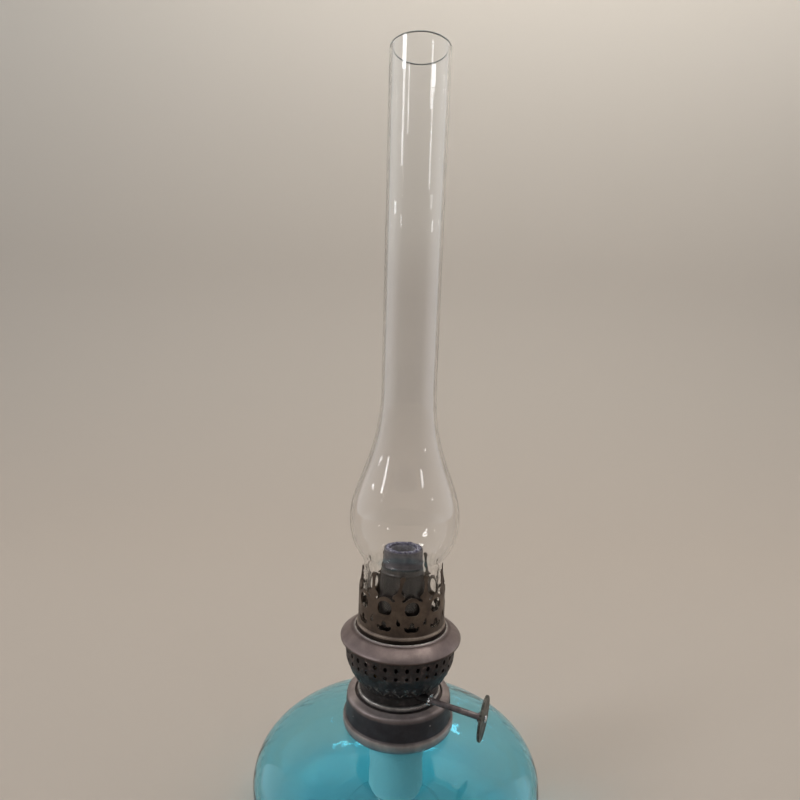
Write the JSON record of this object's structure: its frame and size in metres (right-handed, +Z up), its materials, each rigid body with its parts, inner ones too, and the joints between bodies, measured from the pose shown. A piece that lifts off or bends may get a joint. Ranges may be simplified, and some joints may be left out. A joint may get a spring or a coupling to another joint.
{
  "type": "glass kerosene lamp",
  "caption": "Tabletop kerosene lamp with a round glass fount, pierced metal burner with a side wick knob, and a tall bulbed glass chimney.",
  "frame": {"origin": "centre of the fount's foot, on the table", "axes": "+Z up the lamp; the wick knob points to +X, turned a little towards -Y, and the viewer stands at -Y"},
  "size_m": [0.1648, 0.1638, 0.4439],
  "materials": {
    "blue_glass": "clear turquoise, polished",
    "clear_glass": "clear, polished",
    "copper_brown_brass": "copper-brown patina, satin",
    "dark_patina_brass": "dark brown patina",
    "blackened_brass": "near-black patina",
    "sooty_brass": "sooted and heat-dulled",
    "plain_brass": "dull",
    "browned_steel": "brown-grey, dull",
    "old_plaster": "matt, chalky",
    "cotton_wick": "woven, charred at the top"
  },
  "bodies": {
    "fount_body": {"fount": "blue_glass", "neck_plaster": "old_plaster", "collar": "copper_brown_brass"},
    "burner": {"thread_ring": "plain_brass", "burner_cup": "dark_patina_brass", "base_plate": "plain_brass", "air_basket": "blackened_brass", "gallery_flange": "copper_brown_brass", "wick_tube": "sooty_brass", "air_tube": "plain_brass", "air_duct": "plain_brass", "shaft_bush": "plain_brass", "shaft_bracket": "plain_brass"},
    "crown": {"crown_gallery": "dark_patina_brass"},
    "chimney": {"chimney": "clear_glass"},
    "wick_knob": {"feed_shaft": "browned_steel", "feed_wheel_inner": "browned_steel", "feed_wheel_outer": "browned_steel", "thumb_wheel": "browned_steel", "wheel_hub": "browned_steel", "wheel_rivet": "browned_steel"},
    "wick": {"wick": "cotton_wick"}
  },
  "joints": [
    {"name": "burner_lift", "type": "slide", "parent": "fount_body", "child": "burner", "axis": [0, 0, 1], "range_m": [0, 0.07]},
    {"name": "crown_lift", "type": "slide", "parent": "burner", "child": "crown", "axis": [0, 0, 1], "range_m": [0, 0.05]},
    {"name": "chimney_lift", "type": "slide", "parent": "crown", "child": "chimney", "axis": [0, 0, 1], "range_m": [0, 0.06]},
    {"name": "wick_turn", "type": "hinge", "parent": "burner", "child": "wick_knob", "pos_m": [-0.00505, -0.01316, 0.08869], "axis": [0.9312, -0.3575, -0.0708], "range_deg": [-120, 90]},
    {"name": "wick_travel", "type": "slide", "parent": "burner", "child": "wick", "axis": [0, 0, 1], "range_m": [-0.008, 0.006]}
  ],
  "couplings": [
    {"joint": "wick_travel", "follows": "wick_turn", "m_per_rad": 0.00375}
  ]
}
